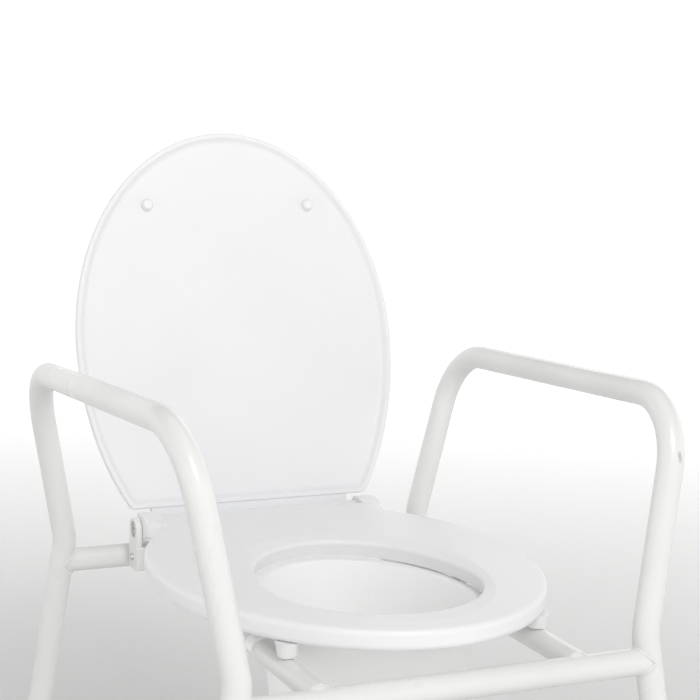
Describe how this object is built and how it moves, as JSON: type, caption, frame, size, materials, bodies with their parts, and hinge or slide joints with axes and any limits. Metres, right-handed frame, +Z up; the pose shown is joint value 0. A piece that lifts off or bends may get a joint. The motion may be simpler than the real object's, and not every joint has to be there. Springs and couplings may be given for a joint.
{
  "type": "raised toilet seat",
  "caption": "Free-standing raised toilet seat: white tubular frame with arm rails and telescoping legs, hinged oval seat and lid, splash guard and rubber feet.",
  "frame": {"origin": "centre of the bounding box on the floor", "axes": "+Z up, -Y towards the user's front, +X to the user's left as seated"},
  "size_m": [0.5774, 0.6764, 0.8701],
  "materials": {
    "painted_tube": "white powder coat, semi-gloss",
    "seat": "white moulded plastic, gloss",
    "lid": "white moulded plastic, gloss",
    "splash_guard": "white moulded plastic, gloss",
    "moulding": "white moulded nylon, satin",
    "buffer": "white soft plastic",
    "pin_steel": "zinc plated",
    "leg_steel": "anodised, satin",
    "foot_rubber": "moulded rubber, matte",
    "clip": "grey moulded nylon"
  },
  "bodies": {
    "frame": {"right_side_frame": "painted_tube", "left_side_frame": "painted_tube", "front_crossbar": "painted_tube", "rear_crossbar": "painted_tube", "seat_rail_right": "painted_tube", "seat_rail_left": "painted_tube", "hinge_bracket_right": "moulding", "hinge_bracket_left": "moulding", "hinge_pin_right": "pin_steel", "hinge_pin_left": "pin_steel", "bracket_screws": "pin_steel", "splash_guard": "splash_guard", "leg_collar_front_right": "moulding", "leg_collar_rear_right": "moulding", "leg_collar_front_left": "moulding", "leg_collar_rear_left": "moulding"},
    "seat": {"seat": "seat", "seat_buffer_front_right": "buffer", "seat_buffer_rear_right": "buffer", "seat_buffer_front_left": "buffer", "seat_buffer_rear_left": "buffer"},
    "lid": {"lid": "lid", "lid_buffer_right": "buffer", "lid_buffer_left": "buffer"},
    "leg_front_right": {"leg_extension_front_right": "leg_steel", "foot_front_right": "foot_rubber", "foot_washer_front_right": "pin_steel"},
    "clip_front_right": {"locking_clip_front_right": "clip"},
    "leg_rear_right": {"leg_extension_rear_right": "leg_steel", "foot_rear_right": "foot_rubber", "foot_washer_rear_right": "pin_steel"},
    "clip_rear_right": {"locking_clip_rear_right": "clip"},
    "leg_front_left": {"leg_extension_front_left": "leg_steel", "foot_front_left": "foot_rubber", "foot_washer_front_left": "pin_steel"},
    "clip_front_left": {"locking_clip_front_left": "clip"},
    "leg_rear_left": {"leg_extension_rear_left": "leg_steel", "foot_rear_left": "foot_rubber", "foot_washer_rear_left": "pin_steel"},
    "clip_rear_left": {"locking_clip_rear_left": "clip"}
  },
  "joints": [
    {"name": "lid_hinge", "type": "hinge", "parent": "frame", "child": "lid", "pos_m": [0, 0.1958, 0.4457], "axis": [-1, 0, 0], "range_deg": [-105.3, 0]},
    {"name": "seat_hinge", "type": "hinge", "parent": "frame", "child": "seat", "pos_m": [0, 0.1958, 0.4457], "axis": [-1, 0, 0], "range_deg": [0, 100]},
    {"name": "leg_height_front_right", "type": "slide", "parent": "frame", "child": "leg_front_right", "axis": [0.1252, -0.1085, -0.9862], "range_m": [0, 0.15]},
    {"name": "clip_pull_front_right", "type": "slide", "parent": "frame", "child": "clip_front_right", "axis": [0.9921, 0.0137, 0.1245], "range_m": [0, 0.03]},
    {"name": "leg_height_rear_right", "type": "slide", "parent": "frame", "child": "leg_rear_right", "axis": [0.1255, 0.0889, -0.9881], "range_m": [0, 0.15]},
    {"name": "clip_pull_rear_right", "type": "slide", "parent": "frame", "child": "clip_rear_right", "axis": [0.9921, -0.0112, 0.125], "range_m": [0, 0.03]},
    {"name": "leg_height_front_left", "type": "slide", "parent": "frame", "child": "leg_front_left", "axis": [-0.1252, -0.1085, -0.9862], "range_m": [0, 0.15]},
    {"name": "clip_pull_front_left", "type": "slide", "parent": "frame", "child": "clip_front_left", "axis": [-0.9921, 0.0137, 0.1245], "range_m": [0, 0.03]},
    {"name": "leg_height_rear_left", "type": "slide", "parent": "frame", "child": "leg_rear_left", "axis": [-0.1255, 0.0889, -0.9881], "range_m": [0, 0.15]},
    {"name": "clip_pull_rear_left", "type": "slide", "parent": "frame", "child": "clip_rear_left", "axis": [-0.9921, -0.0112, 0.125], "range_m": [0, 0.03]}
  ]
}
